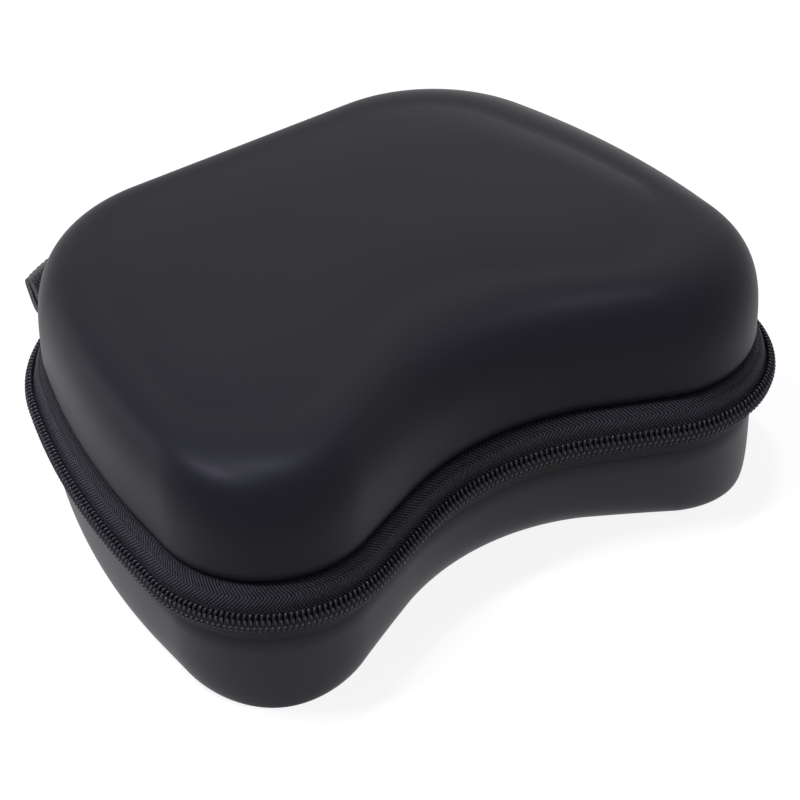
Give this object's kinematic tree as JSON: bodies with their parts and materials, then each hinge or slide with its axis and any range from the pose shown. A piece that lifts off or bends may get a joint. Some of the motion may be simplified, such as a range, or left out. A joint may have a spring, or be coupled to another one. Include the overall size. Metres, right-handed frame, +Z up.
{
  "type": "controller carrying case",
  "caption": "Hard-shell zip case for a game controller: gamepad-shaped lid and base joined by a fabric hinge and closed by a coil zip.",
  "frame": {"origin": "on the underside's plane, below the middle of the case, at the rest_face mount", "axes": "+X to the right along the hinge, +Y to the back where the hinge is, +Z up"},
  "size_m": [0.1911, 0.1513, 0.0728],
  "materials": {
    "lid_skin": "soft-touch black skin on foam board, fine even sheen",
    "base_skin": "soft-touch black skin on foam board",
    "zip_tape": "black herringbone polyester tape",
    "zip_coil": "black nylon coil",
    "zip_metal": "black painted zinc",
    "hinge_cloth": "black woven polyester",
    "binding_ribbon": "black grosgrain ribbon",
    "webbing": "coarse ribbed black webbing",
    "mesh_cloth": "black open mesh",
    "elastic": "black knitted elastic"
  },
  "bodies": {
    "base": {"base_shell": "base_skin", "base_zip_tape": "zip_tape", "base_zip_coil": "zip_coil", "base_stop_left": "zip_metal", "base_stop_right": "zip_metal", "base_binding": "binding_ribbon", "hinge_strip": "hinge_cloth", "holding_band": "elastic"},
    "lid": {"lid_shell": "lid_skin", "lid_zip_tape": "zip_tape", "lid_zip_coil": "zip_coil", "lid_stop_left": "zip_metal", "lid_stop_right": "zip_metal", "lid_binding": "binding_ribbon", "strap_loop": "webbing", "mesh_pocket": "mesh_cloth", "pocket_hem": "elastic"},
    "slider": {"slider_body": "zip_metal"},
    "pull": {"slider_pull": "zip_metal"}
  },
  "joints": [
    {"name": "lid_hinge", "type": "hinge", "parent": "base", "child": "lid", "pos_m": [0, 0.0802, 0.0338], "axis": [-1, 0, 0], "range_deg": [0, 165], "deforming": ["hinge_strip"]},
    {"name": "slider_travel", "type": "hinge", "parent": "base", "child": "slider", "pos_m": [-0.12893, -0.0228, 0.0338], "axis": [0, 0, -1], "range_deg": [0, 11.2], "deforming": ["lid_zip_coil", "base_zip_coil"]},
    {"name": "pull_pivot", "type": "hinge", "parent": "slider", "child": "pull", "pos_m": [0.09127, 0.0258, 0.0338], "axis": [0, 0, 1], "range_deg": [0, 170]}
  ]
}
